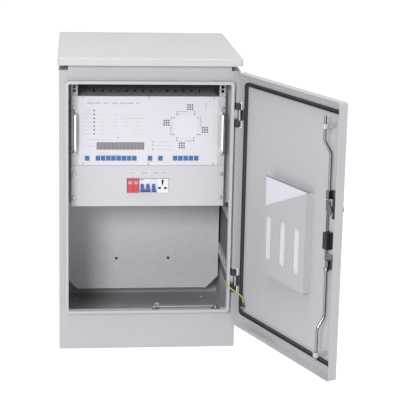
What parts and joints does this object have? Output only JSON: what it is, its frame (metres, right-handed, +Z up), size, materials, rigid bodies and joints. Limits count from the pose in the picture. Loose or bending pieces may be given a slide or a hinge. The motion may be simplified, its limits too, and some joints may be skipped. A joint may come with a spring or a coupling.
{
  "type": "traffic signal controller",
  "caption": "Roadside steel cabinet with an open hinged door, a rack controller with buttons and lamps, a mains panel and a rod lock.",
  "frame": {"origin": "centre of the cabinet's base underside", "axes": "+X to the right seen from the front, +Y to the back, +Z up"},
  "size_m": [0.807, 1.0959, 0.943],
  "materials": {
    "body_paint": "satin light grey powder coat",
    "roof_paint": "satin pale grey powder coat",
    "zinc": "zinc plated sheet steel",
    "plate_zinc": "galvanised sheet steel",
    "panel_grey": "satin grey painted panel",
    "overlay_white": "satin white plate with printed fields",
    "chassis_metal": "passivated aluminium sheet",
    "board_green": "green circuit board",
    "lamp_red": "dark red lamp lenses",
    "display_grey": "grey display window",
    "button_blue": "blue push button caps",
    "chrome": "bright chrome",
    "module_white": "white moulded housing",
    "toggle_blue": "blue toggle",
    "surge_red": "red plug-in modules on a grey base",
    "black_plastic": "black moulded plastic",
    "hinge_steel": "nickel plated steel",
    "seal_rubber": "black rubber",
    "paper": "white paper",
    "earth_lead": "green and yellow cable sheath",
    "terminal": "tinned lug with a dark sleeve"
  },
  "bodies": {
    "cabinet": {"cabinet_shell": "body_paint", "front_frame": "body_paint", "roof_cap": "roof_paint", "cabinet_screws": "hinge_steel", "mounting_plate": "plate_zinc", "plate_standoffs": "zinc", "depth_rails": "zinc", "rack_uprights": "zinc", "cage_nuts": "zinc", "panel_screws": "hinge_steel", "controller_front_panel": "panel_grey", "controller_overlay": "overlay_white", "controller_chassis": "chassis_metal", "front_board": "board_green", "indicator_lamps": "lamp_red", "display_module": "display_grey", "controller_handles": "chrome", "power_panel": "panel_grey", "din_rail": "zinc", "surge_arrester": "surge_red", "breaker_two_pole": "module_white", "breaker_one_pole": "module_white", "socket_outlet": "module_white", "hinge_frame_plates": "hinge_steel", "hinge_blocks": "black_plastic", "stay_brackets": "zinc", "earth_wire": "earth_lead", "earth_terminal_cabinet": "terminal"},
    "door": {"hinge_door_leaves": "hinge_steel", "door_pan": "body_paint", "door_seal": "seal_rubber", "document_pocket": "body_paint", "papers": "paper", "lock_case": "black_plastic", "rod_guides": "zinc", "earth_terminal_door": "terminal"},
    "handle": {"lock_crank": "chrome", "door_handle": "chrome"},
    "upper_rod": {"upper_rod": "zinc"},
    "lower_rod": {"lower_rod": "zinc"},
    "stay": {"stay_rod": "zinc"},
    "two_pole_toggle": {"toggle_two_pole": "toggle_blue"},
    "one_pole_toggle": {"toggle_one_pole": "toggle_blue"},
    "button_01": {"button_01": "button_blue"},
    "button_02": {"button_02": "button_blue"},
    "button_03": {"button_03": "button_blue"},
    "button_04": {"button_04": "button_blue"},
    "button_05": {"button_05": "button_blue"},
    "button_06": {"button_06": "button_blue"},
    "button_07": {"button_07": "button_blue"},
    "button_08": {"button_08": "button_blue"},
    "button_09": {"button_09": "button_blue"},
    "button_10": {"button_10": "button_blue"},
    "button_11": {"button_11": "button_blue"},
    "button_12": {"button_12": "button_blue"},
    "button_13": {"button_13": "button_blue"},
    "button_14": {"button_14": "button_blue"},
    "button_15": {"button_15": "button_blue"},
    "button_16": {"button_16": "button_blue"}
  },
  "joints": [
    {"name": "door_swing", "type": "hinge", "parent": "cabinet", "child": "door", "pos_m": [0.2775, -0.2925, 0.4965], "axis": [0, 0, 1], "range_deg": [-113.6, 6.4], "deforming": ["earth_wire"]},
    {"name": "handle_turn", "type": "hinge", "parent": "door", "child": "handle", "pos_m": [0.4905, -0.74508, 0.583], "axis": [-0.9164, -0.4003, 0], "range_deg": [0, 90]},
    {"name": "upper_rod_slide", "type": "slide", "parent": "door", "child": "upper_rod", "axis": [0, 0, 1], "range_m": [0, 0.0213]},
    {"name": "lower_rod_slide", "type": "slide", "parent": "door", "child": "lower_rod", "axis": [0, 0, -1], "range_m": [0, 0.0213]},
    {"name": "stay_swing", "type": "hinge", "parent": "cabinet", "child": "stay", "pos_m": [0.217, -0.284, 0.141], "axis": [0, 0, 1], "range_deg": [0, 100]},
    {"name": "two_pole_switch", "type": "hinge", "parent": "cabinet", "child": "two_pole_toggle", "pos_m": [-0.0093, -0.2155, 0.5212], "axis": [1, 0, 0], "range_deg": [-84, 0]},
    {"name": "one_pole_switch", "type": "hinge", "parent": "cabinet", "child": "one_pole_toggle", "pos_m": [0.01795, -0.2155, 0.5212], "axis": [1, 0, 0], "range_deg": [-84, 0]},
    {"name": "button_01_press", "type": "slide", "parent": "cabinet", "child": "button_01", "axis": [0, 1, 0], "range_m": [0, 0.0015], "stiffness_N_per_m": 400, "springref_m": -0.001},
    {"name": "button_02_press", "type": "slide", "parent": "cabinet", "child": "button_02", "axis": [0, 1, 0], "range_m": [0, 0.0015], "stiffness_N_per_m": 400, "springref_m": -0.001},
    {"name": "button_03_press", "type": "slide", "parent": "cabinet", "child": "button_03", "axis": [0, 1, 0], "range_m": [0, 0.0015], "stiffness_N_per_m": 400, "springref_m": -0.001},
    {"name": "button_04_press", "type": "slide", "parent": "cabinet", "child": "button_04", "axis": [0, 1, 0], "range_m": [0, 0.0015], "stiffness_N_per_m": 400, "springref_m": -0.001},
    {"name": "button_05_press", "type": "slide", "parent": "cabinet", "child": "button_05", "axis": [0, 1, 0], "range_m": [0, 0.0015], "stiffness_N_per_m": 400, "springref_m": -0.001},
    {"name": "button_06_press", "type": "slide", "parent": "cabinet", "child": "button_06", "axis": [0, 1, 0], "range_m": [0, 0.0015], "stiffness_N_per_m": 400, "springref_m": -0.001},
    {"name": "button_07_press", "type": "slide", "parent": "cabinet", "child": "button_07", "axis": [0, 1, 0], "range_m": [0, 0.0015], "stiffness_N_per_m": 400, "springref_m": -0.001},
    {"name": "button_08_press", "type": "slide", "parent": "cabinet", "child": "button_08", "axis": [0, 1, 0], "range_m": [0, 0.0015], "stiffness_N_per_m": 400, "springref_m": -0.001},
    {"name": "button_09_press", "type": "slide", "parent": "cabinet", "child": "button_09", "axis": [0, 1, 0], "range_m": [0, 0.0015], "stiffness_N_per_m": 400, "springref_m": -0.001},
    {"name": "button_10_press", "type": "slide", "parent": "cabinet", "child": "button_10", "axis": [0, 1, 0], "range_m": [0, 0.0015], "stiffness_N_per_m": 400, "springref_m": -0.001},
    {"name": "button_11_press", "type": "slide", "parent": "cabinet", "child": "button_11", "axis": [0, 1, 0], "range_m": [0, 0.0015], "stiffness_N_per_m": 400, "springref_m": -0.001},
    {"name": "button_12_press", "type": "slide", "parent": "cabinet", "child": "button_12", "axis": [0, 1, 0], "range_m": [0, 0.0015], "stiffness_N_per_m": 400, "springref_m": -0.001},
    {"name": "button_13_press", "type": "slide", "parent": "cabinet", "child": "button_13", "axis": [0, 1, 0], "range_m": [0, 0.0015], "stiffness_N_per_m": 400, "springref_m": -0.001},
    {"name": "button_14_press", "type": "slide", "parent": "cabinet", "child": "button_14", "axis": [0, 1, 0], "range_m": [0, 0.0015], "stiffness_N_per_m": 400, "springref_m": -0.001},
    {"name": "button_15_press", "type": "slide", "parent": "cabinet", "child": "button_15", "axis": [0, 1, 0], "range_m": [0, 0.0015], "stiffness_N_per_m": 400, "springref_m": -0.001},
    {"name": "button_16_press", "type": "slide", "parent": "cabinet", "child": "button_16", "axis": [0, 1, 0], "range_m": [0, 0.0015], "stiffness_N_per_m": 400, "springref_m": -0.001}
  ],
  "couplings": [
    {"joint": "upper_rod_slide", "follows": "handle_turn", "m_per_rad": 0.013505},
    {"joint": "lower_rod_slide", "follows": "handle_turn", "m_per_rad": 0.013505}
  ]
}
